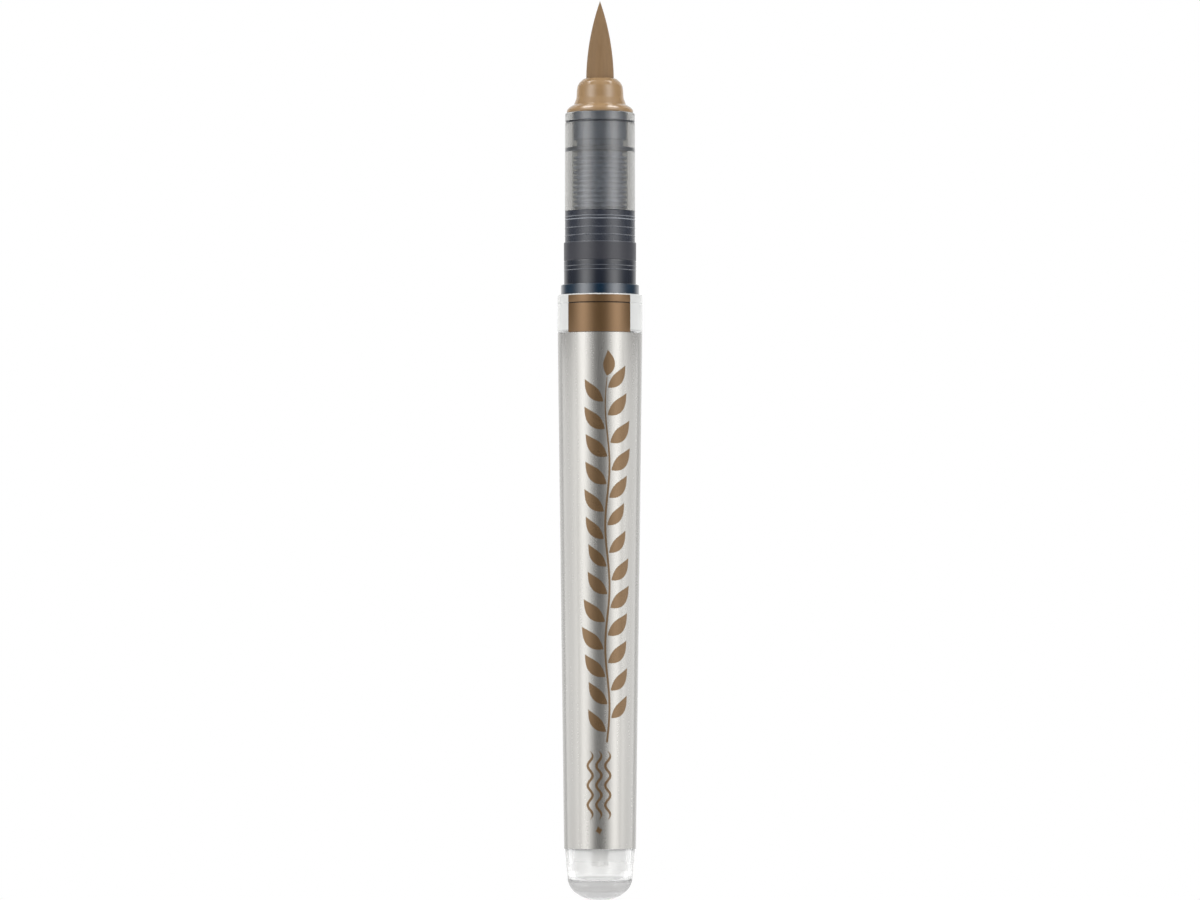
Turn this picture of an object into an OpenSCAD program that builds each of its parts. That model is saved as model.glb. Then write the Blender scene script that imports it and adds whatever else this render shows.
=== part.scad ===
// Free-ink calligraphy marker with a brush nib.
// Millimetres, +Z along the pen towards the nib, origin on the axis at the lowest point of the tail.

/* [Barrel] */
// Outer diameter of the band at the barrel's mouth
mouth_d = 11.95; // [11.8:0.05:12.2]
// Height of the barrel's mouth above the tail's lowest point
mouth_z = 85.15; // [85:0.05:86]
// Wall thickness of the barrel
wall = 1.1; // [1:0.05:1.2]
// Lower edge of the label
label_z0 = 7.3; // [6.5:0.1:8]
// Upper edge of the label
label_z1 = 79.7; // [79.5:0.1:80.5]
// Outer diameter of the label at its lower edge
label_d0 = 10.18; // [10.1:0.02:10.3]
// Outer diameter of the label at its upper edge
label_d1 = 12; // [11.95:0.05:12.2]
// Thickness of the label film
label_t = 0.1; // [0.08:0.01:0.12]
// Diameter of the clear tail just under the label
tail_d = 9.86; // [9.7:0.02:9.9]
// Diameter where the tail's dome starts
dome_d = 9.1; // [9:0.05:9.3]
// Height of the dome
dome_h = 3.15; // [3:0.05:3.4]
// Height of the cavity's floor above the tail's lowest point
floor_z = 2.8; // [2.6:0.1:3]
// Half the angle that the colour patch covers, in degrees
patch_half = 44.4; // [40:0.1:44.4]

/* [Section] */
// Outer diameter of the clear grip
grip_d = 9.9; // [9.86:0.01:9.9]
// Wall thickness of the clear grip
grip_wall = 1; // [0.9:0.05:1]
// Outer diameter of the ribbed part of the collar
rib_d = 9.9; // [9.88:0.01:9.92]
// Outer diameter of the collar's plain part
collar_d = 10.22; // [10.22:0.01:10.3]
// Outer diameter of the flange
flange_d = 11.06; // [11:0.01:11.08]
// Height of the flange's upper face
flange_z = 86.6; // [86.5:0.05:86.8]
// Length of the spigot inside the barrel
spigot_len = 9.1; // [9:0.1:10]
// Radial running clearance of the sliding fits
fit = 0.05; // [0.03:0.01:0.06]

/* [Collector] */
// Number of fine fins on the ink collector
fin_count = 11; // [9:1:11]
// Spacing of the fins
fin_pitch = 0.694; // [0.68:0.002:0.7]
// Thickness of a fin
fin_t = 0.32; // [0.28:0.01:0.36]
// Width of the capillary slit down the collector
slot_w = 0.4; // [0.3:0.05:0.6]
// Diameter of the thin wick in the collector
wick_d = 1.4; // [1.2:0.1:1.5]
// Diameter of the thick wick in the barrel
tank_wick_d = 2.4; // [2.2:0.1:2.6]

/* [Nib] */
// Diameter of the brush nib where it leaves the holder
nib_d = 3.92; // [3.86:0.02:3.92]
// Height of the nib's point above the tail's lowest point
tip_z = 126.8; // [126:0.1:127.4]
// Length of the nib's pointed arch, from its full diameter to the point
nib_arch = 11.5; // [11:0.1:12]

/* [Hidden] */
$fn = 96;

clear_smoky = [0.62, 0.64, 0.64, 0.75];
dark_smoky = [0.16, 0.17, 0.20];
nib_brown = [0.53, 0.43, 0.32];
holder_brown = [0.62, 0.48, 0.34];

// Barrel
mouth_r = mouth_d / 2;
bore_r = 4.8;                         // where the spigot goes in
bore_z0 = mouth_z - spigot_len - 0.8; // lower end of that bore
seat_depth = 0.25;                    // the flange sits this deep in the mouth's rim
seat_r = flange_d / 2 + 0.04;
under0 = label_d0 / 2 - label_t;      // barrel radius under the label, low and high
under1 = label_d1 / 2 - label_t;
groove_z = 83.9;                      // fine line round the mouth band
patch_t = 0.06;
patch_z0 = 79.72;
patch_z1 = mouth_z - 0.2;
patch_turn = -92;                     // the patch faces -Y, a little to -X

// Section
shell_z0 = 97;                        // lower end of the clear grip, on the collar
shell_z1 = 109.38;                    // upper end of the clear grip
shell_r = grip_d / 2;
shell_ri = shell_r - grip_wall;
tongue_r = 4.45;                      // the grip's lower tongue, inside the collar
tongue_z0 = 94.2;
ring_z0 = 109.74;
ring_z1 = 111.05;
holder_z0 = 107.05;                   // lower end of the holder's spigot
holder_z1 = 115.8;                    // front rim of the holder
spigot_r = 4.75;
spigot_z0 = mouth_z - spigot_len;
collar_bore_r = 3.3;
collar_z1 = 92.6;
seal_z = [79, 82.4];                  // heights of the two seals
seal_rr = 0.4;                        // radius of the ring's own section
seal_cr = 4.38;                       // radius of the ring's centre line
socket_r = 3.22;                      // the holder's spigot goes in here

// Collector
head_z0 = 106.05;
head_neck_z = 106.95;                 // the head is narrower below this, so that light passes round it
head_z1 = 111;
col_r = shell_ri - 0.17;
col_top = 105.33;
col_core = 3.2;                      // the fins are shallow, so that each holds a thin film of ink
col_z0 = 77;
fin_top = 104.5;                      // middle of the top fin
wick_r = wick_d / 2;
wick_z1 = 107.9;                      // touches the nib's shank
tank_wick_z0 = 4.9;
tank_wick_z1 = 75.4;
coupler_z0 = 73;
coupler_z1 = 76.6;

// Nib
nib_r = nib_d / 2;
pivot_z = 115.7;                      // the brush bends about this height
ball_r = 1.9;
cup_r = ball_r + fit;
shank_z0 = 107.9;
shank_z1 = pivot_z - 0.9;
nib_bore_r = 2.03;
ferrule_z0 = 107.9;
ferrule_z1 = 110.6;
ferrule_in = 1.7;

// Points of an elliptic arc from (r, 0) to (0, -h), seen in the r-z plane
function arc_pts(r, h, z, n) = [for (i = [0 : n]) [r * cos(90 * i / n), z - h * sin(90 * i / n)]];
// Radius of the nib's arch at a distance s below its point
arch_rho = (nib_r * nib_r + nib_arch * nib_arch) / (2 * nib_r);
function arch_r(s) = s >= nib_arch ? nib_r : sqrt(arch_rho * arch_rho - pow(nib_arch - s, 2)) - (arch_rho - nib_r);

module turned(pts) { rotate_extrude() polygon(pts); }
module tube(ro, ri, z0, z1) { turned([[ri, z0], [ro, z0], [ro, z1], [ri, z1]]); }
module rod(r, z0, z1, c = 0.05) { turned([[0, z0], [r - c, z0], [r, z0 + c], [r, z1 - c], [r - c, z1], [0, z1]]); }

// A curved strip between two radii, over a stated half angle
module strip(ro, ri, z0, z1, half) {
    rotate([0, 0, patch_turn - half]) rotate_extrude(angle = 2 * half) polygon([[ri, z0], [ro, z0], [ro, z1], [ri, z1]]);
}

module barrel_tank() {
    color([0.86, 0.88, 0.88, 0.6]) difference() {
        turned(concat(
            [[0, 0]],
            [for (i = [15 : -1 : 1]) [dome_d / 2 * cos(90 * i / 16), dome_h - dome_h * sin(90 * i / 16)]],
            [[dome_d / 2, dome_h], [tail_d / 2, label_z0 - 0.02], [under0, label_z0 - 0.02],
             [under1, label_z1 + 0.02], [mouth_r, label_z1 + 0.02],
             [mouth_r, groove_z - 0.08], [mouth_r - 0.05, groove_z - 0.03], [mouth_r - 0.05, groove_z + 0.03], [mouth_r, groove_z + 0.08],
             [mouth_r, mouth_z - 0.1], [mouth_r - 0.03, mouth_z - 0.03], [mouth_r - 0.1, mouth_z],
             [seat_r, mouth_z], [seat_r, mouth_z - seat_depth],
             [bore_r + 0.15, mouth_z - seat_depth], [bore_r, mouth_z - seat_depth - 0.3],
             [bore_r, bore_z0], [bore_r - 0.15, bore_z0 - 0.3],
             [tail_d / 2 - wall - 0.03, label_z0], [3.52, floor_z + 0.5], [3.35, floor_z + 0.15], [3.0, floor_z], [0, floor_z]]));
        strip(mouth_r + 1, mouth_r - patch_t, patch_z0, patch_z1, patch_half);
    }
}

module barrel_label() {
    color([0.78, 0.77, 0.74]) turned([
        [under0 + 0.005, label_z0], [label_d0 / 2, label_z0], [label_d1 / 2, label_z1], [under1 + 0.005, label_z1]]);
}

module colour_patch() {
    color([0.45, 0.34, 0.22]) strip(mouth_r, mouth_r - patch_t, patch_z0, patch_z1, patch_half);
}

module section_shell() {
    color(clear_smoky) turned([
        [shell_ri, tongue_z0], [tongue_r, tongue_z0], [tongue_r, shell_z0], [shell_r, shell_z0],
        [shell_r, shell_z1 - 0.08], [shell_r - 0.08, shell_z1], [shell_ri, shell_z1]]);
}

module section_ring() {
    color(clear_smoky) turned([
        [shell_ri, ring_z0], [shell_r - 0.1, ring_z0], [shell_r - 0.03, ring_z0 + 0.07],
        [shell_r - 0.03, ring_z1 - 0.55], [shell_r - 0.08, ring_z1 - 0.28], [shell_r - 0.17, ring_z1 - 0.1],
        [shell_r - 0.27, ring_z1], [shell_ri, ring_z1]]);
}

// Ridges on the collar: [height of the fine groove, depth]
rib_lines = [[93.5, 0.05], [94.6, 0.05], [95.76, 0.05], [96.18, 0.05]];
body_lines = [[88.62, 0.05], [89.2, 0.05]];
function grooves(r, lines) = [for (l = lines) for (k = [0 : 3])
    [r - (k == 1 || k == 2 ? l[1] : 0), l[0] + [-0.1, -0.03, 0.03, 0.1][k]]];

module section_collar() {
    color(dark_smoky) turned(concat(
        [[collar_bore_r, spigot_z0], [spigot_r - 0.2, spigot_z0], [spigot_r, spigot_z0 + 0.3]],
        [for (s = seal_z) for (k = [0 : 3]) [k == 1 || k == 2 ? seal_cr - seal_rr - 0.01 : spigot_r, s + (k < 2 ? -0.5 : 0.5)]],
        [[spigot_r, mouth_z - seat_depth], [flange_d / 2 - 0.06, mouth_z - seat_depth], [flange_d / 2, mouth_z - seat_depth + 0.06],
         [flange_d / 2, flange_z - 0.1], [flange_d / 2 - 0.1, flange_z], [collar_d / 2, flange_z]],
        grooves(collar_d / 2, body_lines),
        [[collar_d / 2, collar_z1 - 0.08], [collar_d / 2 - 0.08, collar_z1], [rib_d / 2, collar_z1]],
        grooves(rib_d / 2, rib_lines),
        [[rib_d / 2, shell_z0 - 0.05], [rib_d / 2 - 0.05, shell_z0], [tongue_r + 0.02, shell_z0],
         [tongue_r + 0.02, tongue_z0 - 0.05], [collar_bore_r, tongue_z0 - 0.05]]));
}

module barrel_seals() {
    color([0.12, 0.12, 0.13]) for (z = seal_z) translate([0, 0, z]) rotate_extrude() translate([seal_cr, 0]) circle(r = seal_rr, $fn = 32);
}

module collector_head() {
    color(dark_smoky) turned([
        [wick_r + fit, head_z0], [3.3, head_z0], [3.3, head_neck_z], [col_r - 0.1, head_neck_z], [col_r, head_neck_z + 0.1],
        // thin flange held between the grip and the ring
        [col_r, shell_z1 + 0.02], [shell_r - 0.09, shell_z1 + 0.02], [shell_r - 0.09, ring_z0 - 0.02], [col_r, ring_z0 - 0.02],
        [col_r, head_z1 - 0.1], [col_r - 0.1, head_z1],
        [socket_r, head_z1], [socket_r, holder_z0], [wick_r + fit, holder_z0]]);
}

module collector_gasket() {
    color([0.18, 0.19, 0.22]) turned([
        [2.3, col_top + 0.05], [shell_ri - 0.02, col_top + 0.05], [shell_ri - 0.02, head_z0 - 0.15], [shell_ri - 0.12, head_z0 - 0.05],
        [2.3, head_z0 - 0.05]]);
}

module ink_collector() {
    color([0.42, 0.44, 0.48]) difference() {
        union() {
            // Core through the fins, and the upper neck under the gasket
            tube(col_core, wick_r + fit, 95.5, col_top);
            tube(2.25, wick_r + fit, col_top - 0.01, head_z0 - 0.05);
            // Fine fins, seen through the grip
            for (i = [0 : fin_count - 1]) tube(col_r, col_core - 0.2, fin_top - i * fin_pitch - fin_t / 2, fin_top - i * fin_pitch + fin_t / 2);
            // Shoulder under the fins, then coarse fins inside the collar
            tube(col_r, wick_r + fit, 95.4, 96.9);
            tube(collar_bore_r - fit, wick_r + fit, col_z0, 94);
            tube(col_r - 0.2, wick_r + fit, 94.35, 95.45);
            tube(collar_bore_r - 0.6, wick_r + fit, 93.9, 94.4);
        }
        for (i = [0 : 9]) tube(collar_bore_r + 1, 2.2, 79 + i * 1.4, 79.7 + i * 1.4);
        translate([-slot_w / 2, -6, 92]) cube([slot_w, 6 - wick_r - 0.5, 20]);
    }
}

module collector_base() {
    color([0.30, 0.31, 0.34]) difference() {
        turned([[coupler_z0 > 0 ? 1.75 : 0, spigot_z0 + 0.02], [collar_bore_r - 0.02, spigot_z0 + 0.02], [collar_bore_r - 0.02, col_z0 - 0.05], [1.75, col_z0 - 0.05]]);
        for (a = [45 : 90 : 315]) rotate([0, 0, a]) translate([2.5, 0, spigot_z0 - 1]) cylinder(r = 0.35, h = 4, $fn = 24);
    }
}

module collector_wick() {
    color([0.28, 0.31, 0.36]) rod(wick_r, tank_wick_z1 + 0.02, wick_z1 - 0.01);
}

module wick_coupler() {
    color([0.80, 0.80, 0.78]) turned([
        [tank_wick_d / 2 + 0.02, coupler_z0], [1.55, coupler_z0], [1.7, coupler_z0 + 0.3], [1.7, coupler_z1],
        [wick_r + 0.02, coupler_z1], [wick_r + 0.02, tank_wick_z1 + 0.2], [tank_wick_d / 2 + 0.02, tank_wick_z1 + 0.01]]);
}

module tank_wick() {
    color([0.80, 0.79, 0.77]) rod(tank_wick_d / 2, tank_wick_z0, tank_wick_z1, 0.15);
}

module nib_holder() {
    color(holder_brown) turned([
        [wick_r + fit, holder_z0], [socket_r - 0.15, holder_z0], [socket_r - 0.02, holder_z0 + 0.3], [socket_r - 0.02, ring_z1 + 0.01],
        // flared foot on the ring
        [shell_r - 0.27, ring_z1 + 0.01], [4.62, 111.2], [4.42, 111.48], [4.12, 111.76], [3.85, 112.04], [3.6, 112.32],
        // step with the light band, waist and rounded shoulder
        [3.44, 112.55], [3.39, 112.9], [3.36, 113.17], [3.3, 113.45], [3.28, 114.0], [3.25, 114.3], [3.2, 114.6], [3.13, 114.9],
        [2.97, 115.15], [2.72, 115.42], [2.46, 115.66], [2.3, holder_z1],
        // mouth of the nib's bore
        [nib_bore_r + 0.2, holder_z1], [nib_bore_r, holder_z1 - 0.35], [nib_bore_r, shank_z0 - 0.01], [wick_r + fit, shank_z0 - 0.01]]);
}

module nib_shank() {
    color([0.45, 0.38, 0.30]) difference() {
        turned([[0, shank_z0], [ferrule_in, shank_z0], [ferrule_in, ferrule_z1], [nib_r, ferrule_z1], [nib_r, shank_z1], [0, shank_z1]]);
        translate([0, 0, pivot_z]) sphere(r = cup_r);
    }
}

module nib_ferrule() {
    color([0.62, 0.60, 0.56]) turned([
        [ferrule_in + 0.01, ferrule_z0], [nib_bore_r - 0.13, ferrule_z0], [nib_bore_r - 0.03, ferrule_z0 + 0.15], [nib_bore_r - 0.03, ferrule_z1 - 0.9],
        [nib_bore_r - 0.1, ferrule_z1 - 0.75], [nib_bore_r - 0.1, ferrule_z1 - 0.55], [nib_bore_r - 0.03, ferrule_z1 - 0.4],
        [nib_bore_r - 0.03, ferrule_z1 - 0.02], [ferrule_in + 0.01, ferrule_z1 - 0.02]]);
}

module brush_tip() {
    n = 24;
    base_s = tip_z - pivot_z;
    color(nib_brown) union() {
        turned(concat([[0, pivot_z - 0.02]], [for (i = [0 : n]) let (s = base_s * (1 - i / n)) [max(arch_r(s), 0), tip_z - s]]));
        intersection() {
            translate([0, 0, pivot_z]) sphere(r = ball_r);
            translate([0, 0, pivot_z - 5]) cylinder(r = 4, h = 5);
        }
    }
}

barrel_tank();
barrel_label();
colour_patch();
section_shell();
section_ring();
section_collar();
barrel_seals();
collector_head();
collector_gasket();
ink_collector();
collector_base();
collector_wick();
wick_coupler();
tank_wick();
nib_holder();
nib_shank();
nib_ferrule();
brush_tip();
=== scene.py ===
import math

import bmesh
import bpy
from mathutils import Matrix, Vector


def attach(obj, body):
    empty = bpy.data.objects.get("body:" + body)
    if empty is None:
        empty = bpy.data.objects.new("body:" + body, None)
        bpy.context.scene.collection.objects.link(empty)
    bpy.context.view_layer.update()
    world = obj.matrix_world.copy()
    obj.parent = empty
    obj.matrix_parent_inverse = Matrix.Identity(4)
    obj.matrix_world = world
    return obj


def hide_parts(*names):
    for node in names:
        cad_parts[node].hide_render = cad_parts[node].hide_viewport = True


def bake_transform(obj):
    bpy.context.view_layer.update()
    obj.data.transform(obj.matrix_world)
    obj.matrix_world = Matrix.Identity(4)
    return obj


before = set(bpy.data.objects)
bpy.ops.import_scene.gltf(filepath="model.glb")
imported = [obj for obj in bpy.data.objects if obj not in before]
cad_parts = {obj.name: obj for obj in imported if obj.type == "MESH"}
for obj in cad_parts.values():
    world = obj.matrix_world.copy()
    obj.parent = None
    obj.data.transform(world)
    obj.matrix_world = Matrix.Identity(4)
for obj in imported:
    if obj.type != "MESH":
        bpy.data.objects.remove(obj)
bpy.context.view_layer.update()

MM = 0.001
SEG = 160

# ---------------------------------------------------------------- mesh helpers


def rounded(points, steps=4):
    """Turns (r, z, fillet) corners into a fine profile. A fillet of 0 keeps the corner."""
    out = []
    n = len(points)
    for i, p in enumerate(points):
        f = p[2] if len(p) > 2 else 0.0
        if f <= 0:
            out.append((p[0], p[1]))
            continue
        a, b, c = Vector(points[i - 1][:2]), Vector(p[:2]), Vector(points[(i + 1) % n][:2])
        u, v = (a - b), (c - b)
        lu, lv = u.length, v.length
        u.normalize(), v.normalize()
        ang = u.angle(v)
        d = min(f / math.tan(ang / 2), lu * 0.48, lv * 0.48)
        rad = d * math.tan(ang / 2)
        bis = (u + v).normalized()
        centre = b + bis * (rad / math.sin(ang / 2))
        s, e = b + u * d - centre, b + v * d - centre
        a0 = math.atan2(s.y, s.x)
        sweep = (math.atan2(e.y, e.x) - a0 + math.pi) % (2 * math.pi) - math.pi
        for k in range(steps + 1):
            t = a0 + sweep * k / steps
            out.append((centre.x + rad * math.cos(t), centre.y + rad * math.sin(t)))
    clean = []
    for q in out:
        if not clean or abs(q[0] - clean[-1][0]) + abs(q[1] - clean[-1][1]) > 1e-5:
            clean.append(q)
    return clean


def new_object(name, bm, sharp=32):
    bmesh.ops.recalc_face_normals(bm, faces=bm.faces)
    mesh = bpy.data.meshes.new(name)
    bm.to_mesh(mesh)
    bm.free()
    mesh.polygons.foreach_set("use_smooth", [True] * len(mesh.polygons))
    if sharp:
        mesh.set_sharp_from_angle(angle=math.radians(sharp))
    o = bpy.data.objects.new(name, mesh)
    bpy.context.scene.collection.objects.link(o)
    return o


def supported(prof, closed, gap=0.04, least=0.5):
    """Adds a loop close to both ends of each long straight run, so that a fillet's shading stays on the fillet."""
    out = []
    n = len(prof)
    for i, p in enumerate(prof):
        out.append(p)
        if i == n - 1 and not closed:
            break
        q = prof[(i + 1) % n]
        d = math.hypot(q[0] - p[0], q[1] - p[1])
        if d > least and p[0] > 1e-6 and q[0] > 1e-6:
            u, v = (q[0] - p[0]) * gap / d, (q[1] - p[1]) * gap / d
            out += [(p[0] + u, p[1] + v), (q[0] - u, q[1] - v)]
    return out


def lathe(name, prof, seg=SEG, wave=None, sharp=32):
    """Turns a profile in mm about Z. A profile that starts and ends on the axis is closed there, any other closes on itself.
    wave(r, z, angle) may give a changed radius."""
    bm = bmesh.new()
    open_ends = prof[0][0] < 1e-6 and prof[-1][0] < 1e-6
    prof = supported(prof, not open_ends)
    rings = []
    for r, z in prof:
        if r < 1e-6:
            rings.append([bm.verts.new((0, 0, z * MM))])
        else:
            ring = []
            for k in range(seg):
                a = 2 * math.pi * k / seg
                rr = wave(r, z, a) if wave else r
                ring.append(bm.verts.new((rr * math.cos(a) * MM, rr * math.sin(a) * MM, z * MM)))
            rings.append(ring)
    pairs = list(zip(rings, rings[1:]))
    if not open_ends:
        pairs.append((rings[-1], rings[0]))
    for a, b in pairs:
        if len(a) == 1 and len(b) == 1:
            continue
        for k in range(seg):
            k2 = (k + 1) % seg
            if len(a) == 1:
                bm.faces.new((a[0], b[k], b[k2]))
            elif len(b) == 1:
                bm.faces.new((a[k], b[0], a[k2]))
            else:
                bm.faces.new((a[k], b[k], b[k2], a[k2]))
    return new_object(name, bm, sharp)


def put(o, body, material, slot, *nodes):
    o.data.materials.clear()
    o.data.materials.append(material)
    if body:
        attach(o, body)
    if nodes:
        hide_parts(*nodes)
    return o


# ---------------------------------------------------------------- material helpers


class Mat:
    def __init__(self, name):
        self.m = bpy.data.materials.new(name)
        self.m.use_nodes = True
        self.t = self.m.node_tree
        self.p = self.t.nodes["Principled BSDF"]
        self.out = self.t.nodes["Material Output"]
        self.co = self.t.nodes.new("ShaderNodeTexCoord")

    def n(self, kind, **kw):
        node = self.t.nodes.new("ShaderNode" + kind)
        for k, v in kw.items():
            if k in node.inputs:
                node.inputs[k].default_value = v
            else:
                setattr(node, k, v)
        return node

    def l(self, a, b):
        self.t.links.new(a, b)

    def set(self, **kw):
        for k, v in kw.items():
            self.p.inputs[k.replace("_", " ")].default_value = v
        return self

    def mapped(self, scale=(1, 1, 1), source="Object"):
        m = self.n("Mapping")
        m.inputs["Scale"].default_value = scale
        self.l(self.co.outputs[source], m.inputs["Vector"])
        return m.outputs["Vector"]

    def noise(self, scale, vec=None, detail=3.0, rough=0.55):
        n = self.n("TexNoise")
        n.inputs["Scale"].default_value = scale
        n.inputs["Detail"].default_value = detail
        n.inputs["Roughness"].default_value = rough
        self.l(vec if vec is not None else self.co.outputs["Object"], n.inputs["Vector"])
        return n.outputs["Fac"]

    def ramp(self, fac, stops):
        r = self.n("ValToRGB")
        e = r.color_ramp.elements
        while len(e) < len(stops):
            e.new(0.5)
        for el, (pos, col) in zip(e, stops):
            el.position = pos
            el.color = (*col, 1) if len(col) == 3 else col
        self.l(fac, r.inputs["Fac"])
        return r.outputs["Color"]

    def math(self, op, a, b=None, clamp=False):
        m = self.n("Math")
        m.operation = op
        m.use_clamp = clamp
        for i, v in enumerate((a, b)):
            if v is None:
                continue
            if isinstance(v, (int, float)):
                m.inputs[i].default_value = v
            else:
                self.l(v, m.inputs[i])
        return m.outputs[0]

    def remap(self, v, a, b, c, d):
        m = self.n("MapRange")
        self.l(v, m.inputs["Value"])
        for k, x in zip(("From Min", "From Max", "To Min", "To Max"), (a, b, c, d)):
            m.inputs[k].default_value = x
        return m.outputs["Result"]

    def mix(self, fac, a, b):
        m = self.n("Mix", data_type="RGBA")
        if isinstance(fac, (int, float)):
            m.inputs[0].default_value = fac
        else:
            self.l(fac, m.inputs[0])
        for i, v in ((6, a), (7, b)):
            if isinstance(v, tuple):
                m.inputs[i].default_value = (*v, 1)
            else:
                self.l(v, m.inputs[i])
        return m.outputs[2]

    def bump(self, height, strength=0.2, dist=0.00005):
        b = self.n("Bump")
        b.inputs["Strength"].default_value = strength
        b.inputs["Distance"].default_value = dist
        self.l(height, b.inputs["Height"])
        self.l(b.outputs["Normal"], self.p.inputs["Normal"])
        return b

    def z_mm(self):
        s = self.n("SeparateXYZ")
        self.l(self.co.outputs["Object"], s.inputs[0])
        return self.math("MULTIPLY", s.outputs["Z"], 1000.0)


def band(m, z, lo, hi, soft):
    """1 between two heights in mm, 0 outside, with soft edges."""
    return m.math("MULTIPLY", m.remap(z, lo - soft, lo + soft, 0, 1), m.remap(z, hi - soft, hi + soft, 1, 0))


def clear_barrel():
    m = Mat("clear_barrel_plastic")
    m.set(IOR=1.49, Transmission_Weight=1.0)
    x = m.n("SeparateXYZ")
    m.l(m.co.outputs["Object"], x.inputs[0])
    z = m.math("MULTIPLY", x.outputs["Z"], 1000.0)
    rr = m.math("ADD", m.math("POWER", x.outputs["X"], 2.0), m.math("POWER", x.outputs["Y"], 2.0))
    r = m.math("MULTIPLY", m.math("SQRT", rr), 1000.0)
    fine = m.noise(900, detail=4)
    hazy = band(m, z, 80.0, 86, 0.25)
    inner = m.math("MULTIPLY", m.remap(r, 4.0, 4.1, 1, 0), m.remap(z, 2.2, 2.3, 0, 1))
    tint = m.mix(fine, (0.965, 0.97, 0.97), (0.985, 0.99, 0.99))
    # Painted shade on the solid dome: its tint is grey, darkest low down and lighter towards the cavity floor, with a
    # lighter band near 1.1 mm, a much lighter bottom tip, and a slight fade towards the axis.
    dome = m.math("MULTIPLY", m.remap(z, 2.78, 3.05, 1, 0), m.remap(r, 0.5, 4.4, 0.85, 1.0))
    shade = m.mix(m.remap(z, 1.3, 2.7, 0, 1), (0.46, 0.46, 0.46), (0.60, 0.60, 0.60))
    shade = m.mix(band(m, z, 0.95, 1.25, 0.08), shade, (0.55, 0.55, 0.55))
    shade = m.mix(m.remap(z, 0.35, 0.5, 1, 0), shade, (0.80, 0.80, 0.80))
    c = m.mix(inner, tint, (0.76, 0.76, 0.755))
    c = m.mix(dome, c, shade)
    m.l(m.mix(hazy, c, (0.69, 0.70, 0.695)), m.p.inputs["Base Color"])
    rough = m.math("ADD", m.remap(fine, 0.3, 0.7, 0.02, 0.05), m.math("MULTIPLY", hazy, 0.2))
    m.l(m.math("ADD", rough, m.math("MULTIPLY", inner, m.remap(z, 4.6, 6.0, 0.10, 0.30))), m.p.inputs["Roughness"])
    m.l(m.remap(hazy, 0, 1, 0.97, 0.3), m.p.inputs["Transmission Weight"])
    m.bump(m.noise(350, m.mapped((1, 1, 0.35)), detail=2), 0.05)
    v = m.n("VolumeAbsorption")
    v.inputs["Color"].default_value = (0.5, 0.5, 0.5, 1)
    v.inputs["Density"].default_value = 8
    m.l(v.outputs[0], m.out.inputs["Volume"])
    return m.m


def smoky(name, lo, hi, rough=0.03):
    m = Mat(name)
    m.set(IOR=1.5, Transmission_Weight=0.96)
    fine = m.noise(1200, detail=3)
    m.l(m.mix(fine, lo, hi), m.p.inputs["Base Color"])
    m.l(m.remap(fine, 0.3, 0.7, rough, rough + 0.03), m.p.inputs["Roughness"])
    m.bump(m.noise(300, m.mapped((1, 1, 0.2)), detail=1), 0.02)
    return m.m


def collar_plastic():
    """Dark plastic: polished low down, satin above, half-polished between the ridges, navy on the flange."""
    m = Mat("dark_collar_plastic")
    m.set(IOR=1.52, Specular_IOR_Level=0.38)
    z = m.z_mm()
    fine = m.noise(1200, detail=5)
    big = m.noise(160, detail=2)
    satin = band(m, z, 89.98, 92.56, 0.02)
    ribs = band(m, z, 92.56, 98, 0.02)
    flange = m.remap(z, 86.55, 86.62, 1, 0)
    low = m.mix(big, (0.012, 0.0145, 0.022), (0.014, 0.017, 0.025))
    c = m.mix(satin, low, (0.022, 0.023, 0.031))
    c = m.mix(ribs, c, (0.020, 0.0235, 0.034))
    c = m.mix(flange, c, (0.005, 0.017, 0.034))
    # Each ridge has a polished crest, and a painted highlight along it: the colour there is lighter grey and part
    # metallic, standing in for the light the crest catches.
    crest_highlight_paint = mask = None
    for zc, half, w in ((92.52, 0.04, 0.35), (93.5, 0.05, 0.35), (94.6, 0.05, 0.4), (95.76, 0.055, 1.0), (96.18, 0.05, 0.6), (89.2, 0.045, 0.3), (88.62, 0.045, 0.4)):
        hit = band(m, z, zc - half, zc + half, 0.025)
        k = m.math("MULTIPLY", hit, w)
        crest_highlight_paint = k if crest_highlight_paint is None else m.math("ADD", crest_highlight_paint, k)
        mask = hit if mask is None else m.math("ADD", mask, hit)
    m.l(m.math("MULTIPLY", crest_highlight_paint, 0.17), m.p.inputs["Metallic"])
    m.l(m.mix(m.math("MULTIPLY", crest_highlight_paint, 0.5), c, (0.42, 0.45, 0.50)), m.p.inputs["Base Color"])
    base = m.remap(fine, 0.3, 0.7, 0.05, 0.09)
    r = m.math("ADD", m.math("ADD", base, m.math("MULTIPLY", satin, 0.31)), m.math("MULTIPLY", ribs, 0.20))
    worn = m.math("MULTIPLY", m.remap(z, 87.6, 89.9, 0.0, 0.17), m.remap(z, 89.96, 90.0, 1, 0))
    r = m.math("ADD", r, worn)
    m.l(m.math("SUBTRACT", r, m.math("MULTIPLY", mask, m.math("SUBTRACT", r, 0.09))), m.p.inputs["Roughness"])
    m.l(m.math("MULTIPLY", flange, 0.7), m.p.inputs["Coat Weight"])
    m.set(Coat_Roughness=0.04)
    m.bump(fine, 0.04)
    return m.m


def moulded(name, lo, hi, rough=(0.1, 0.2), grain=900, bump=0.08, coat=0.0, spec=0.5):
    m = Mat(name)
    m.set(IOR=1.5, Specular_IOR_Level=spec, Coat_Weight=coat, Coat_Roughness=0.03)
    big = m.noise(160, detail=2)
    fine = m.noise(grain, detail=5)
    m.l(m.mix(big, lo, hi), m.p.inputs["Base Color"])
    m.l(m.remap(fine, 0.3, 0.7, rough[0], rough[1]), m.p.inputs["Roughness"])
    m.bump(fine, bump)
    return m.m


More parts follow.
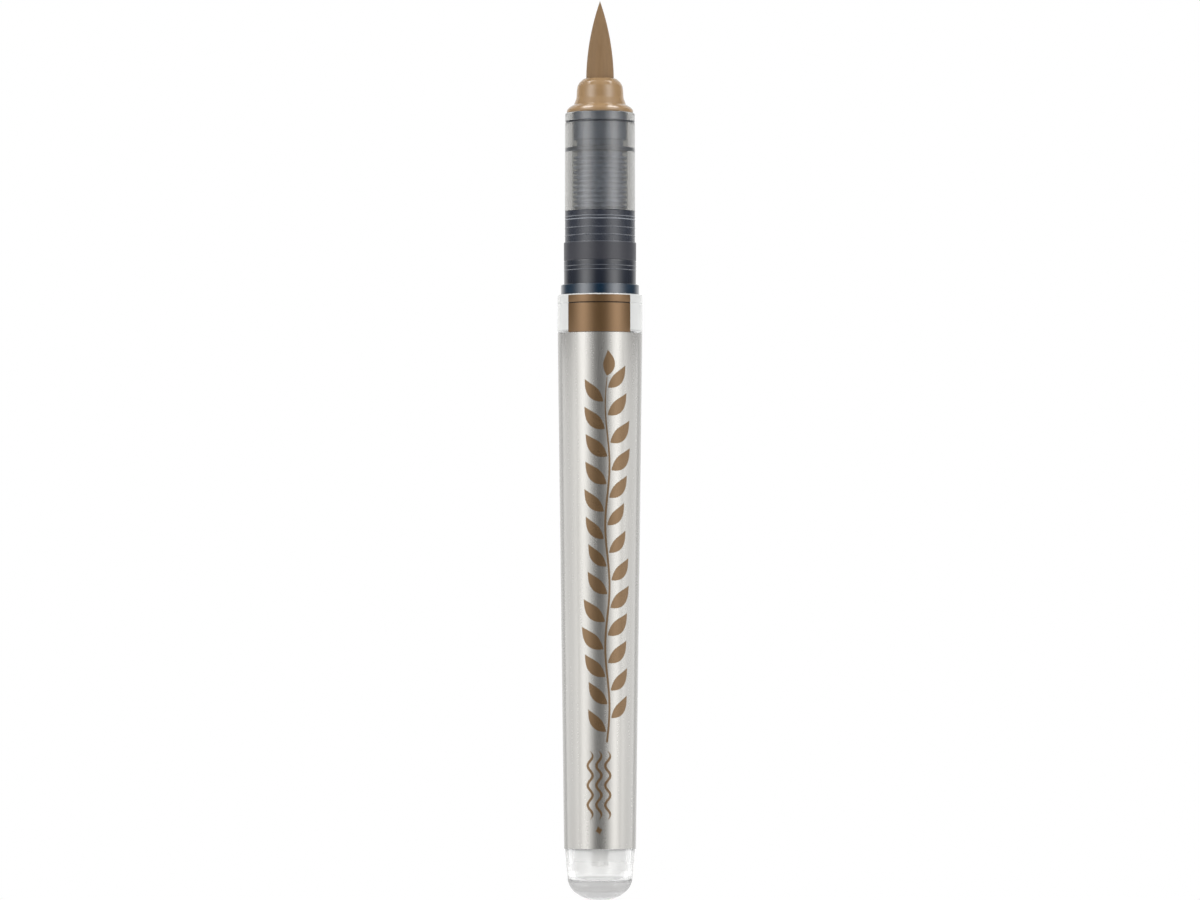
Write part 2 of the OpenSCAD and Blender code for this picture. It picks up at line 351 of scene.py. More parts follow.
def silver_film():
    m = Mat("silver_label_film")
    m.set(Metallic=0.70, IOR=1.5, Specular_IOR_Level=0.5, Coat_Weight=0.3, Coat_Roughness=0.14, Sheen_Weight=0.45, Sheen_Roughness=0.35)
    streak = m.noise(1500, m.mapped((1, 1, 0.02)), detail=4)
    fine = m.noise(5200, detail=2)
    cloud = m.noise(70, m.mapped((1, 1, 0.4)), detail=3)
    base = m.mix(streak, (0.247, 0.242, 0.229), (0.285, 0.280, 0.267))
    m.l(m.mix(m.remap(cloud, 0.35, 0.65, 0.0, 0.35), base, (0.306, 0.301, 0.289)), m.p.inputs["Base Color"])
    m.l(m.math("ADD", m.remap(streak, 0.3, 0.7, 0.225, 0.27), m.remap(fine, 0.3, 0.7, 0.0, 0.02)), m.p.inputs["Roughness"])
    m.bump(streak, 0.02, 0.00001)
    return m.m


def print_ink(name, lo, hi, rough=(0.24, 0.32), groove=None):
    """Brown print with a slight metallic sheen; painted shade makes it near-black inside a fine groove at a stated
    height.
    """
    m = Mat(name)
    m.set(IOR=1.5, Specular_IOR_Level=0.3, Metallic=0.45)
    fine = m.noise(2600, detail=3)
    big = m.noise(240, detail=3)
    c = m.mix(m.remap(m.math("ADD", m.math("MULTIPLY", fine, 0.25), big), 0.4, 0.9, 0.2, 0.8), lo, hi)
    if groove:
        # Painted shade: the print is made near-black inside the groove.
        c = m.mix(band(m, m.z_mm(), groove - 0.075, groove + 0.075, 0.02), c, tuple(0.06 * v for v in lo))
    m.l(c, m.p.inputs["Base Color"])
    m.l(m.remap(big, 0.3, 0.7, rough[0], rough[1]), m.p.inputs["Roughness"])
    m.bump(m.noise(900, m.mapped((1, 1, 0.05)), detail=2), 0.01, 0.00001)
    return m.m


def fibre(name, lo, hi, stretch=0.03, rough=(0.5, 0.7), scale=2600, bump=0.25, used=None):
    """Bonded or drawn fibre. used darkens it above a height in mm, where ink has passed."""
    m = Mat(name)
    m.set(IOR=1.45, Specular_IOR_Level=0.25, Sheen_Weight=0.04, Sheen_Roughness=0.5)
    streak = m.noise(scale, m.mapped((1, 1, stretch)), detail=5, rough=0.65)
    big = m.noise(220, m.mapped((1, 1, 0.3)), detail=2)
    base = m.mix(m.remap(streak, 0.3, 0.7, 0, 1), lo, hi)
    c = m.mix(m.remap(big, 0.35, 0.65, 0, 0.35), base, tuple(0.85 * c for c in lo))
    if used:
        c = m.mix(m.remap(m.z_mm(), used, used + 5, 0, 0.9), c, (0.46, 0.455, 0.45))
    m.l(c, m.p.inputs["Base Color"])
    m.l(m.remap(streak, 0.3, 0.7, rough[0], rough[1]), m.p.inputs["Roughness"])
    m.bump(streak, bump, 0.00004)
    return m.m


M_CLEAR = clear_barrel()
M_SMOKY = smoky("smoky_grip_plastic", (0.425, 0.425, 0.415), (0.455, 0.455, 0.445))
M_RING = smoky("smoky_ring_plastic", (0.43, 0.43, 0.42), (0.46, 0.46, 0.45))
M_FILM = silver_film()
M_PATCH = print_ink("colour_code_print", (0.119, 0.068, 0.030), (0.129, 0.075, 0.035), (0.22, 0.26), groove=83.9)
M_INK = print_ink("motif_print", (0.116, 0.071, 0.034), (0.143, 0.088, 0.044))
M_COLLAR = collar_plastic()
def head_plastic():
    """Grey-blue moulded plastic, dark on the thin flange that reaches the outside."""
    m = Mat("dark_head_plastic")
    m.set(IOR=1.5)
    x = m.n("SeparateXYZ")
    m.l(m.co.outputs["Object"], x.inputs[0])
    rr = m.math("ADD", m.math("POWER", x.outputs["X"], 2.0), m.math("POWER", x.outputs["Y"], 2.0))
    r = m.math("MULTIPLY", m.math("SQRT", rr), 1000.0)
    fine = m.noise(900, detail=5)
    body = m.mix(m.noise(160, detail=2), (0.240, 0.280, 0.370), (0.285, 0.325, 0.420))
    m.l(m.mix(m.remap(r, 4.2, 4.4, 0, 1), body, (0.020, 0.023, 0.030)), m.p.inputs["Base Color"])
    m.l(m.remap(fine, 0.3, 0.7, 0.14, 0.22), m.p.inputs["Roughness"])
    m.bump(fine, 0.06)
    return m.m


M_HEAD = head_plastic()
M_GASKET = moulded("gasket_plastic", (0.150, 0.165, 0.195), (0.180, 0.195, 0.225), (0.25, 0.35), 900, 0.06)
M_COLLECT = moulded("collector_plastic", (0.350, 0.400, 0.510), (0.420, 0.470, 0.580), (0.22, 0.36), 1100, 0.08)
M_SEAL = moulded("seal_rubber", (0.012, 0.012, 0.013), (0.022, 0.022, 0.022), (0.45, 0.6), 2400, 0.15)
M_WHITE = moulded("natural_plastic", (0.50, 0.49, 0.46), (0.58, 0.57, 0.54), (0.2, 0.32), 900, 0.06)
M_HOLDER = moulded("holder_plastic", (0.248, 0.157, 0.078), (0.275, 0.178, 0.092), (0.07, 0.13), 1000, 0.05)
M_NIB = fibre("brush_fibre", (0.172, 0.104, 0.050), (0.208, 0.130, 0.066), bump=0.15)
M_WICK = fibre("wick_fibre", (0.80, 0.795, 0.785), (0.88, 0.875, 0.865), 0.05, (0.6, 0.8), 3000, used=9)
M_INKED = fibre("inked_wick_fibre", (0.020, 0.023, 0.032), (0.045, 0.050, 0.062), 0.05, (0.4, 0.6), 3000)

# ---------------------------------------------------------------- barrel


def taper(z):
    """Outer radius of the label, a straight cone, in mm."""
    return 5.09 + (6.0 - 5.09) * (z - 7.3) / 72.4


def dome(a, b, n=44):
    """The tail's dome, with faint turned rings."""
    out = []
    for k in range(n + 1):
        t = math.pi / 2 * k / n
        d = 0.022 * math.sin(math.pi * k / n) * (0.5 - 0.5 * math.cos(2 * math.pi * k / 8.8))
        out.append(((a - d) * math.sin(t), b - (b - d) * math.cos(t)))
    return out


outer = dome(4.55, 3.15)
outer += [(4.75, 5.15), (4.93, 7.28), (4.985, 7.28), (5.9, 79.72)]
outer += rounded([(5.9, 79.72), (5.975, 79.72, 0.03), (5.975, 83.82, 0.02), (5.925, 83.87, 0.02), (5.925, 83.93, 0.02), (5.975, 83.98, 0.02),
                  (5.975, 85.15, 0.12), (5.575, 85.15, 0.03), (5.575, 84.9, 0.03), (4.95, 84.9, 0.05), (4.8, 84.6, 0.05),
                  (4.8, 75.25), (4.65, 74.95), (3.815, 7.0), (3.66, 4.2), (3.54, 3.45), (3.42, 3.07), (3.2, 2.88), (2.8, 2.79), (1.9, 2.72), (1.0, 2.68), (0, 2.67)], 4)[1:]
barrel = put(lathe("clear_barrel", outer, 192), "barrel", M_CLEAR, "barrel_plastic", "barrel_tank")


def wrap(name, r_of_z, z0, z1, rows, start, end, t, lift, over):
    """A thin film wrapped round the barrel: it starts at one angle, goes round, and its last few degrees lie on its own start."""
    bm = bmesh.new()
    cols = 220
    grid = []
    for j in range(rows + 1):
        z = z0 + (z1 - z0) * j / rows
        line = []
        for i in range(cols + 1):
            a = start + (end - start) * i / cols
            k = min(max((a - (end - over - 0.03)) / 0.03, 0), 1)
            rise = lift * k * k * (3 - 2 * k)
            ro = r_of_z(z) + rise
            line.append([bm.verts.new((r * math.cos(a) * MM, r * math.sin(a) * MM, z * MM)) for r in (ro - t, ro)])
        grid.append(line)
    for j in range(rows):
        for i in range(cols):
            a, b, c, d = grid[j][i], grid[j][i + 1], grid[j + 1][i + 1], grid[j + 1][i]
            bm.faces.new((a[1], b[1], c[1], d[1]))
            bm.faces.new((a[0], d[0], c[0], b[0]))
    for i in range(cols):
        for j in (0, rows):
            a, b = grid[j][i], grid[j][i + 1]
            bm.faces.new((a[0], b[0], b[1], a[1]))
    for i in (0, cols):
        for j in range(rows):
            a, b = grid[j][i], grid[j + 1][i]
            bm.faces.new((a[0], a[1], b[1], b[0]))
    return new_object(name, bm, 40)


# The film's joint is at the back, where its end overlaps its start.
back = math.pi / 2
over = math.radians(9)
film = wrap("silver_label", lambda z: taper(z) - 0.035, 7.3, 79.7, 30, back - over / 2, back + over / 2 + 2 * math.pi, 0.06, 0.032, over)
put(film, "barrel", M_FILM, "label_film", "barrel_label")


def on_barrel(s, z, lift):
    """A point at arc length s (mm, positive to the viewer's right) and height z on the label's front, lifted above the film."""
    r = taper(z) - 0.035 + lift
    a = s / r
    return (r * math.sin(a) * MM, -r * math.cos(a) * MM, z * MM)


def ribbon(bm, centre, half, across=6, closed=False, t=0.02, place=on_barrel):
    """A raised print stroke: centre line points (s, z) with a half width at each."""
    n = len(centre)
    rows = []
    for i in range(n):
        a = centre[(i - 1) % n] if closed or i > 0 else centre[i]
        b = centre[(i + 1) % n] if closed or i < n - 1 else centre[i]
        d = Vector((b[0] - a[0], b[1] - a[1])).normalized()
        nx, nz = -d.y, d.x
        row = []
        for k in range(across + 1):
            u = -1 + 2 * k / across
            s, z = centre[i][0] + nx * half[i] * u, centre[i][1] + nz * half[i] * u
            row.append((bm.verts.new(place(s, z, t)), bm.verts.new(place(s, z, -0.005))))
        rows.append(row)
    m = n if closed else n - 1
    for i in range(m):
        a, b = rows[i], rows[(i + 1) % n]
        for k in range(across):
            bm.faces.new((a[k][0], a[k + 1][0], b[k + 1][0], b[k][0]))
            bm.faces.new((a[k][1], b[k][1], b[k + 1][1], a[k + 1][1]))
        for k in (0, across):
            bm.faces.new((a[k][0], b[k][0], b[k][1], a[k][1]))
    if not closed:
        for r in (rows[0], rows[-1]):
            for k in range(across):
                bm.faces.new((r[k][0], r[k + 1][0], r[k + 1][1], r[k][1]))


def blob(bm, pts, t=0.02):
    """A filled convex print shape from its outline (s, z), fanned in rings from its middle so that it follows the barrel."""
    cs = sum(p[0] for p in pts) / len(pts)
    cz = sum(p[1] for p in pts) / len(pts)
    rings = 4
    top, low = [], []
    for k in range(1, rings + 1):
        f = k / rings
        top.append([bm.verts.new(on_barrel(cs + (p[0] - cs) * f, cz + (p[1] - cz) * f, t)) for p in pts])
    low = [bm.verts.new(on_barrel(p[0], p[1], -0.005)) for p in pts]
    mid = bm.verts.new(on_barrel(cs, cz, t))
    under = bm.verts.new(on_barrel(cs, cz, -0.005))
    n = len(pts)
    for i in range(n):
        j = (i + 1) % n
        bm.faces.new((mid, top[0][i], top[0][j]))
        for k in range(rings - 1):
            bm.faces.new((top[k][i], top[k + 1][i], top[k + 1][j], top[k][j]))
        bm.faces.new((top[-1][i], low[i], low[j], top[-1][j]))
        bm.faces.new((under, low[j], low[i]))


def diamond(s, z, a, b, turn=0.0, n=6):
    """Outline of a broad-nib diamond dot with slightly bowed sides."""
    corners = [(a, 0), (0, b), (-a, 0), (0, -b)]
    out = []
    for i in range(4):
        p, q = corners[i], corners[(i + 1) % 4]
        for k in range(n):
            f = k / n
            bow = 1 - 0.10 * math.sin(math.pi * f)
            x, y = (p[0] + (q[0] - p[0]) * f) * bow, (p[1] + (q[1] - p[1]) * f) * bow
            out.append((s + x * math.cos(turn) - y * math.sin(turn), z + x * math.sin(turn) + y * math.cos(turn)))
    return out


# A sprig of broad brush-stroke leaves on a fine stem, then hairline waves below it.
bm = bmesh.new()
MID, Z_TOP, Z_LOW = 1.05, 77.3, 22.8
PAIRS = 13


def stem_s(z):
    return MID + 0.30 * math.sin(2 * math.pi * (z - Z_LOW) / 17.0)


def leaf(bm, s, z, ds, dz, wide, n=22):
    """One brush stroke: from its foot (s, z) outwards and up, bowed, broadest before its middle."""
    pts, half = [], []
    for i in range(n + 1):
        f = i / n
        bow = 0.07 * math.sin(math.pi * f)
        pts.append((s + ds * f + bow * dz * (1 if ds > 0 else -1), z + dz * f - bow * abs(ds)))
        half.append(max(wide * math.sin(math.pi * f ** 0.85) if 0 < f < 1 else 0.0, 0.015))
    ribbon(bm, pts, half)


step = (Z_TOP - Z_LOW - 4.4) / PAIRS
for k in range(PAIRS):
    z = Z_LOW + 0.9 + step * k
    big = 1.0 - 0.10 * math.cos(2 * math.pi * k / 6.5)
    leaf(bm, stem_s(z) - 0.30, z, -2.80 * big, 3.1, 0.86 * big)
    z += step / 2
    leaf(bm, stem_s(z) + 0.30, z, 2.80 * big, 3.1, 0.86 * big)
leaf(bm, stem_s(Z_TOP - 4.0), Z_TOP - 3.75, 0.12, 3.6, 0.85)
motif = new_object("label_motif_leaves", bm, 40)
put(motif, "barrel", M_INK, "colour_print")

bm = bmesh.new()
pts = [(stem_s(z), z) for z in [Z_LOW - 0.6 + (Z_TOP - 3.95 - Z_LOW + 0.6) * i / 240 for i in range(241)]]
ribbon(bm, pts, [0.05 + 0.09 * min(1.0, (240 - i) / 60) for i in range(241)], across=3)
put(new_object("label_motif_stem", bm, 40), "barrel", M_INK, "colour_print")

bm = bmesh.new()
for shift in (-1.25, 0.0, 1.25):
    pts, half = [], []
    for i in range(161):
        f = i / 160
        pts.append((-0.15 + shift + 0.36 * math.sin(2 * math.pi * 3.5 * f), 21.0 - 9.6 * f))
        half.append(0.17 * min(1.0, 0.15 + 8 * min(f, 1 - f)))
    ribbon(bm, pts, half, across=2)
blob(bm, diamond(-0.15, 9.9, 0.5, 0.62, math.radians(12)))
hair = new_object("label_motif_lines", bm, 40)
put(hair, "barrel", M_INK, "colour_print")

# Colour-code patch: a strip of print on the mouth band that follows the fine groove.
bm = bmesh.new()
prof = rounded([(5.98, 79.76), (5.98, 83.82, 0.02), (5.93, 83.87, 0.02), (5.93, 83.93, 0.02), (5.98, 83.98, 0.02), (5.98, 84.98)], 3)
rows = []
cols = 64
c0, hw = math.radians(-91.4), math.radians(46.6)
for r, z in prof:
    rows.append([[bm.verts.new(((r + d) * math.cos(c0 - hw + 2 * hw * i / cols) * MM, (r + d) * math.sin(c0 - hw + 2 * hw * i / cols) * MM, z * MM))
                  for d in (-0.02, 0.012)] for i in range(cols + 1)])
for j in range(len(rows) - 1):
    for i in range(cols):
        a, b, c, d = rows[j][i], rows[j][i + 1], rows[j + 1][i + 1], rows[j + 1][i]
        bm.faces.new((a[1], b[1], c[1], d[1]))
        bm.faces.new((a[0], d[0], c[0], b[0]))
for i in range(cols):
    for j in (0, len(rows) - 1):
        a, b = rows[j][i], rows[j][i + 1]
        bm.faces.new((a[0], b[0], b[1], a[1]))
for i in (0, cols):
    for j in range(len(rows) - 1):
        a, b = rows[j][i], rows[j + 1][i]
        bm.faces.new((a[0], a[1], b[1], b[0]))
put(new_object("colour_code_patch", bm, 25), "barrel", M_PATCH, "colour_print", "colour_patch")

# ---------------------------------------------------------------- grip section

shell = rounded([(3.95, 94.2), (4.45, 94.2, 0.05), (4.45, 97.0), (4.96, 97.0, 0.04), (4.94, 109.45, 0.05), (3.95, 109.45, 0.03)], 4)
put(lathe("grip_shell", shell, 192), "front_unit", M_SMOKY, "smoky_plastic", "section_shell")

ring = rounded([(3.95, 109.70), (4.93, 109.70, 0.05), (4.93, 110.91, 0.26), (3.95, 110.91, 0.03)], 6)
put(lathe("front_ring", ring, 192), "front_unit", M_RING, "smoky_plastic", "section_ring")


def bead(r, z, h=0.09, out=0.05, n=6):
    """A fine half-round ridge on a cylinder, from low to high."""
    return [(r + out * math.sin(math.pi * k / n), z - h + 2 * h * k / n) for k in range(n + 1)]


collar = rounded([(3.3, 76.05), (4.6, 76.05, 0.1), (4.75, 76.4, 0.1), (4.75, 78.5, 0.05), (3.97, 78.5, 0.03), (3.97, 79.5, 0.03), (4.75, 79.5, 0.05),
                  (4.75, 81.9, 0.05), (3.97, 81.9, 0.03), (3.97, 82.9, 0.03), (4.75, 82.9, 0.05), (4.75, 84.92, 0.05), (5.53, 84.92, 0.06),
                  (5.53, 86.6, 0.14), (5.09, 86.6, 0.04)], 4)
for z in (88.62, 89.2):
    collar += bead(5.09, z, 0.07, 0.03)
collar += [(5.09, 89.86), (5.06, 89.9), (5.06, 90.02), (5.09, 90.06)]
collar += rounded([(5.09, 90.1), (5.1, 92.6, 0.07), (4.93, 92.6, 0.03), (4.93, 92.7)], 3)[1:]
for z in (93.5, 94.6, 95.76, 96.18):
    collar += bead(4.93, z, 0.085, 0.06)
collar += rounded([(4.93, 96.6), (4.93, 96.98, 0.05), (4.47, 96.98), (4.47, 94.15), (3.3, 94.15)], 3)[1:]
put(lathe("ribbed_collar", collar, 192), "front_unit", M_COLLAR, "dark_plastic", "section_collar")

bm = bmesh.new()
for z0 in (79.0, 82.4):
    grid = []
    for k in range(120):
        a = 2 * math.pi * k / 120
        grid.append([bm.verts.new(((4.38 + 0.4 * math.cos(b)) * math.cos(a) * MM, (4.38 + 0.4 * math.cos(b)) * math.sin(a) * MM, (z0 + 0.4 * math.sin(b)) * MM))
                     for b in [2 * math.pi * i / 20 for i in range(20)]])
    for k in range(120):
        for i in range(20):
            bm.faces.new((grid[k][i], grid[(k + 1) % 120][i], grid[(k + 1) % 120][(i + 1) % 20], grid[k][(i + 1) % 20]))
put(new_object("barrel_seal_rings", bm, 0), "front_unit", M_SEAL, "seal_rubber", "barrel_seals")

head = rounded([(0.75, 106.05), (3.28, 106.05, 0.05), (3.3, 106.95, 0.03), (3.77, 106.95, 0.12), (3.77, 109.47), (4.86, 109.47, 0.03), (4.86, 109.68, 0.03), (3.77, 109.68), (3.77, 111.0, 0.1),
                (3.22, 111.0, 0.03), (3.22, 107.05), (0.75, 107.05)], 3)
put(lathe("feed_head", head), "front_unit", M_HEAD, "dark_plastic", "collector_head")

gasket = rounded([(2.3, 105.38), (3.97, 105.38, 0.12), (3.97, 106.03, 0.12), (2.3, 106.03)], 3)
put(lathe("full_bore_gasket", gasket), "front_unit", M_GASKET, "dark_plastic", "collector_gasket")

# Finned collector: fine discs in the grip, a shoulder, then coarse discs inside the collar.
col = [(0.75, 77.0), (3.24, 77.0)]
for i in range(10):
    z = 79 + 1.4 * i
    col += [(3.24, z), (2.2, z), (2.2, z + 0.7), (3.24, z + 0.7)]
col += [(3.24, 93.9), (2.7, 93.95), (2.7, 94.35), (3.7, 94.4), (3.7, 95.4), (3.8, 95.45), (3.8, 96.9), (3.2, 96.95)]
for i in range(10, -1, -1):
    z = 104.5 - 0.694 * i
    col += [(3.2, z - 0.16), (3.73, z - 0.15), (3.78, z - 0.10), (3.78, z + 0.10), (3.73, z + 0.15), (3.2, z + 0.16)]
col += [(3.2, 105.35), (2.25, 105.36), (2.25, 106.0), (0.75, 106.0)]
put(lathe("ink_collector_fins", col, 144, sharp=25), "front_unit", M_COLLECT, "collector_plastic", "ink_collector")

base = rounded([(1.75, 76.07), (3.28, 76.07, 0.05), (3.28, 76.95, 0.05), (1.75, 76.95)], 3)
put(lathe("collector_end_plug", base), "front_unit", M_COLLECT, "collector_plastic", "collector_base")
put(lathe("feed_wick", rounded([(0, 75.42), (0.7, 75.42, 0.06), (0.7, 107.88, 0.06), (0, 107.88)], 3), 64), "front_unit", M_INKED, "inked_fibre", "collector_wick")
put(lathe("wick_sleeve", rounded([(1.22, 73), (1.55, 73, 0.05), (1.7, 73.3, 0.08), (1.7, 76.6, 0.08), (0.72, 76.6), (0.72, 75.6), (1.22, 75.41)], 3), 96),
    "front_unit", M_WHITE, "white_plastic", "wick_coupler")
put(lathe("long_wick", rounded([(0, 4.9), (1.2, 4.9, 0.2), (1.2, 75.4, 0.1), (0, 75.4)], 4), 96), "front_unit", M_WICK, "wick_fibre", "tank_wick")

holder = rounded([(0.75, 107.05), (3.07, 107.05, 0.06), (3.2, 107.35, 0.06), (3.2, 110.92), (4.66, 110.92, 0.06), (4.70, 111.14, 0.1), (4.66, 111.36, 0.15), (4.38, 111.68, 0.25), (4.05, 111.90, 0.1),
                  (3.68, 112.10), (3.40, 112.88), (3.34, 113.08), (3.32, 113.3, 0.2), (3.28, 114.1, 0.6), (3.18, 114.75, 0.6),
                  (2.9, 115.25, 0.5), (2.45, 115.66, 0.3), (2.24, 115.78, 0.04), (2.03, 115.45), (2.03, 107.89), (0.75, 107.89)], 6)
put(lathe("nib_holder_front", holder, 192, sharp=14), "front_unit", M_HOLDER, "holder_plastic", "nib_holder")

# ---------------------------------------------------------------- nib

R, L, TIP = 1.96, 11.5, 126.8
rho = (R * R + L * L) / (2 * R)


def arch(s):
    return R if s >= L else math.sqrt(rho * rho - (L - s) ** 2) - (rho - R)


nib = [(0, 107.92), (1.6, 107.92), (1.69, 108.0), (1.69, 110.6), (1.94, 110.66), (1.96, 110.75), (1.96, 113.0)]
for k in range(61):
    f = k / 60
    s = 11.5 * (1 - f) ** 1.25
    if s <= 0.02:
        break
    nib.append((arch(s), TIP - s))
nib += [(0.045, 126.76), (0.02, 126.79), (0, 126.8)]


def strands(r, z, a):
    """Fine lengthwise grooves between fibres, fading towards the point."""
    if z < 112:
        return r
    d = 0.009 * min(r / 1.96, 1.0)
    return r - d * (0.5 + 0.5 * math.cos(36 * a + 0.9 * math.sin(0.8 * z))) - 0.5 * d * (0.5 + 0.5 * math.sin(59 * a + 0.5 * z))


brush = lathe("brush_nib", nib, 288, strands, 50)
put(brush, None, M_NIB, "nib_fibre", "nib_shank", "brush_tip")
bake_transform(brush)

ferrule = rounded([(1.71, 107.9), (1.9, 107.9), (2.0, 108.05, 0.04), (2.0, 109.7, 0.05), (1.93, 109.8, 0.05), (1.93, 110.05, 0.05), (2.0, 110.15, 0.05), (2.0, 110.58, 0.04), (1.71, 110.58)], 3)
put(lathe("nib_crimp_ring", ferrule, 128), "nib", M_WHITE, "white_plastic", "nib_ferrule")

# ---------------------------------------------------------------- stage, light and camera


def stage_floor():
    bm = bmesh.new()
    bmesh.ops.create_grid(bm, x_segments=2, y_segments=2, size=4)
    me = bpy.data.meshes.new("floor")
    bm.to_mesh(me)
    bm.free()
    o = bpy.data.objects.new("floor", me)
    o.location = (0, 0, -0.5)
    bpy.context.scene.collection.objects.link(o)
    m = Mat("pale_floor")
    m.set(Roughness=0.9, Specular_IOR_Level=0.1, Base_Color=(0.2, 0.2, 0.2, 1), Emission_Color=(1, 1, 1, 1))
    seen = m.n("LightPath")
    straight = m.math("MAXIMUM", seen.outputs["Is Camera Ray"], seen.outputs["Is Transmission Ray"])
    m.l(m.remap(straight, 0, 1, 0.42, 1.0), m.p.inputs["Emission Strength"])
    me.materials.append(m.m)
    o.visible_camera = False


stage_floor()


def softbox(name, azimuth, elevation, dist, w, h, radiance, aim=(0, 0, 0.065)):
    """A soft rectangular light at an angle from the pen's front (-Y), positive to the right."""
    a, e = math.radians(azimuth), math.radians(elevation)
    lamp = bpy.data.lights.new(name, "AREA")
    lamp.shape = "RECTANGLE"
    lamp.size, lamp.size_y = w, h
    lamp.energy = radiance * math.pi * w * h
    o = bpy.data.objects.new(name, lamp)
    o.location = Vector(aim) + dist * Vector((math.sin(a) * math.cos(e), -math.cos(a) * math.cos(e), math.sin(e)))
    o.rotation_euler = (Vector(aim) - o.location).to_track_quat("-Z", "Y").to_euler()
    bpy.context.scene.collection.objects.link(o)
    return o


softbox("softbox_top", 0, 80, 1.8, 1.4, 1.0, 0.5)
# Two white cards stand beside the barrel, below the height of its mouth, just outside the frame.
for sx, name in ((-1, "card_left"), (1, "card_right")):
    card = softbox(name, 0, 0, 1, 0.126, 0.092, 1.85)
    card.location = (sx * 0.115, 0.015, 0.0375)
    card.rotation_euler = (Vector((0, 0, 0.0375)) - card.location).to_track_quat("-Z", "Y").to_euler()
    card.visible_transmission = False

# The studio as a sky by direction: dark in front, two tall soft boxes at either side, darker beside them, white behind.
world = bpy.data.worlds.new("studio")
bpy.context.scene.world = world
world.use_nodes = True
wt = world.node_tree
wt.nodes.clear()


def wmath(op, a, b=None, clamp=False):
    m = wt.nodes.new("ShaderNodeMath")
    m.operation = op
    m.use_clamp = clamp
    for i, v in enumerate((a, b)):
        if v is None:
            continue
        if isinstance(v, (int, float)):
            m.inputs[i].default_value = v
        else:
            wt.links.new(v, m.inputs[i])
    return m.outputs[0]


def wramp(fac, stops, mode="B_SPLINE"):
    r = wt.nodes.new("ShaderNodeValToRGB")
    r.color_ramp.interpolation = mode
    e = r.color_ramp.elements
    while len(e) < len(stops):
        e.new(0.5)
    for el, (pos, v) in zip(e, stops):
        el.position = pos
        el.color = (v, v, v, 1) if isinstance(v, (int, float)) else (*v, 1)
    wt.links.new(fac, r.inputs["Fac"])
    return r.outputs["Color"]


co = wt.nodes.new("ShaderNodeTexCoord")
sep = wt.nodes.new("ShaderNodeSeparateXYZ")
wt.links.new(co.outputs["Generated"], sep.inputs[0])
azim = wmath("DIVIDE", wmath("ABSOLUTE", wmath("ARCTAN2", sep.outputs["X"], wmath("MULTIPLY", sep.outputs["Y"], -1.0))), math.pi)
PEAK = 4.8
AZ = [(0, 0.05), (8, 0.10), (15, 0.40), (22, 1.2), (30, 2.4), (38, 3.8), (46, 4.6), (54, 4.3), (62, 2.9), (72, 1.4), (82, 0.5), (92, 0.25), (104, 0.16),
      (118, 0.16), (127, 0.50), (135, 0.90), (143, 1.0), (160, 1.0), (180, 1.0)]
ring_light = wramp(azim, [(a / 180, min(v / PEAK, 1.0)) for a, v in AZ])
up = wmath("DIVIDE", wmath("ARCSINE", sep.outputs["Z"]), math.pi / 2)
fall = wramp(wmath("ABSOLUTE", up), [(0.0, 1.0), (0.31, 1.0), (0.40, 0.40), (0.50, 0.16), (0.80, 0.12), (1.0, 0.10)], "EASE")
side = wramp(azim, [(0.0, 0.0), (0.38, 0.0), (0.47, 1.0), (0.60, 1.0), (0.70, 0.0), (1.0, 0.0)], "EASE")
high = wramp(up, [(0.0, 0.0), (0.50, 0.0), (0.64, 1.0), (0.80, 1.0), (0.88, 0.06), (1.0, 0.03)], "EASE")
sky = wmath("ADD", wmath("MULTIPLY", wmath("MULTIPLY", ring_light, PEAK), fall), wmath("MULTIPLY", wmath("MULTIPLY", side, high), 10.0))
# A soft band of light all round, about 40 degrees up.
sky = wmath("ADD", sky, wramp(up, [(0.0, 0.0), (0.33, 0.0), (0.38, 0.6), (0.48, 0.6), (0.56, 0.0), (1.0, 0.0)], "EASE"))
path = wt.nodes.new("ShaderNodeLightPath")
through = path.outputs["Is Transmission Ray"]
sky = wmath("MULTIPLY", sky, wmath("ADD", wmath("MULTIPLY", through, 0.14), 1.0))
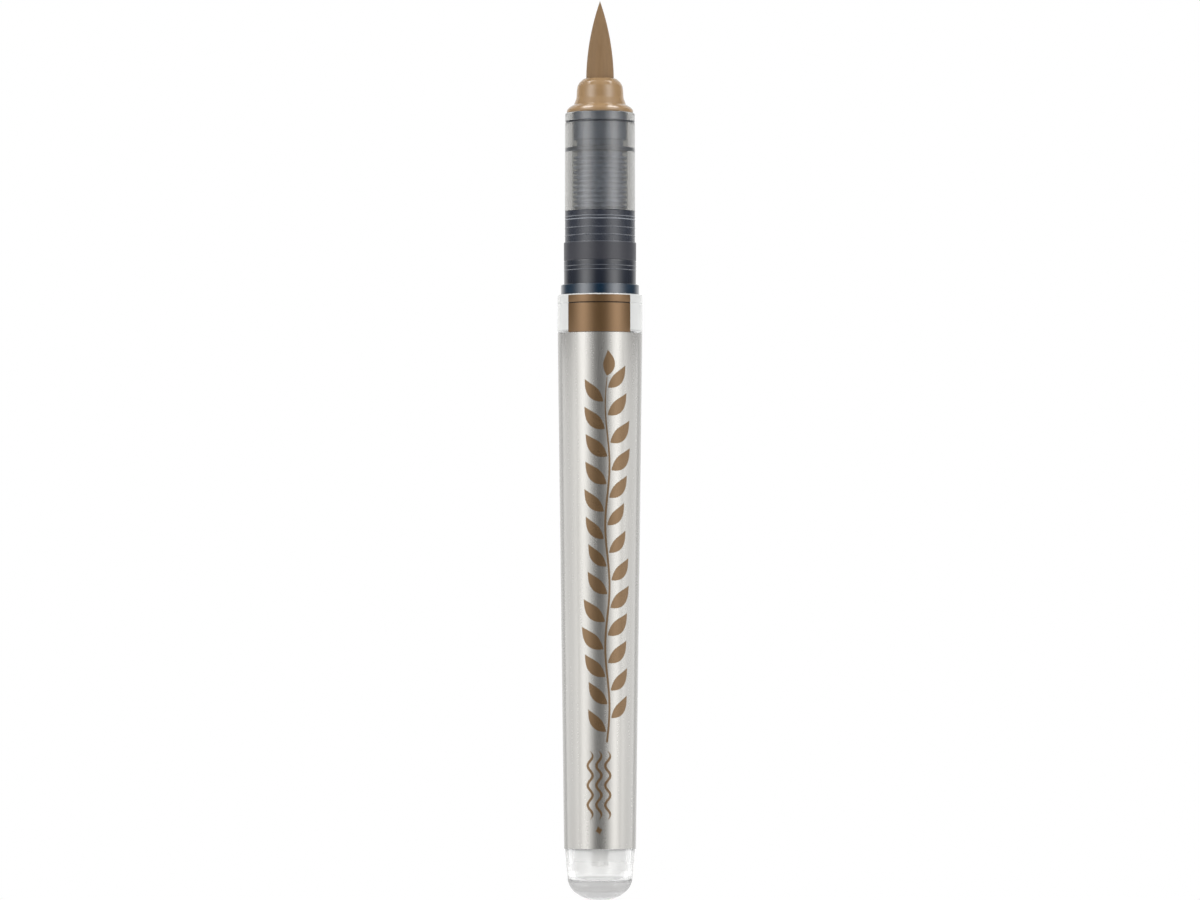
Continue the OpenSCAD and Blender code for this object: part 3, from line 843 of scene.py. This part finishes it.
# Seen through a clear wall alone, the soft boxes are no brighter than the white behind; a part inside the wall mirrors them in full.
bounced = wmath("ADD", path.outputs["Glossy Depth"], path.outputs["Diffuse Depth"], True)
inside = wmath("MULTIPLY", bounced, wmath("GREATER_THAN", path.outputs["Transmission Depth"], 3.5))
straight = wmath("MULTIPLY", through, wmath("SUBTRACT", 1.0, inside))
sky = wmath("MINIMUM", sky, wmath("ADD", wmath("MULTIPLY", wmath("SUBTRACT", 1.0, straight), 50.0), 1.14))
sky = wmath("MAXIMUM", sky, wmath("MULTIPLY", straight, 0.95))
comb = wt.nodes.new("ShaderNodeCombineXYZ")
for i, k in enumerate((1.0, 0.995, 0.985)):
    wt.links.new(wmath("MULTIPLY", sky, k), comb.inputs[i])
wo = wt.nodes.new("ShaderNodeOutputWorld")
bg = wt.nodes.new("ShaderNodeBackground")
lp = wt.nodes.new("ShaderNodeLightPath")
mixw = wt.nodes.new("ShaderNodeMix")
mixw.data_type = "RGBA"
wt.links.new(lp.outputs["Is Camera Ray"], mixw.inputs[0])
wt.links.new(comb.outputs[0], mixw.inputs[6])
mixw.inputs[7].default_value = (1.0, 1.0, 1.0, 1)
wt.links.new(mixw.outputs[2], bg.inputs["Color"])
wt.links.new(bg.outputs[0], wo.inputs["Surface"])

cam_data = bpy.data.cameras.new("camera")
cam = bpy.data.objects.new("camera", cam_data)
bpy.context.scene.collection.objects.link(cam)
target = Vector((0, 0, 0.06335))
elev = math.radians(-2.3)
dist = 0.979
cam.location = target + dist * Vector((0, -math.cos(elev), math.sin(elev)))
cam.rotation_mode = "QUATERNION"
cam.rotation_quaternion = (target - cam.location).to_track_quat("-Z", "Y")
cam_data.sensor_width = 36
cam_data.lens = 208.5
cam_data.clip_start, cam_data.clip_end = 0.01, 50
bpy.context.scene.camera = cam

sc = bpy.context.scene
sc.view_settings.view_transform = "Standard"
sc.view_settings.look = "None"
sc.cycles.use_denoising = True
sc.cycles.max_bounces = 16
sc.cycles.transmission_bounces = 14
sc.cycles.transparent_max_bounces = 12
sc.cycles.caustics_refractive = True
sc.cycles.caustics_reflective = True
sc.cycles.blur_glossy = 0.2
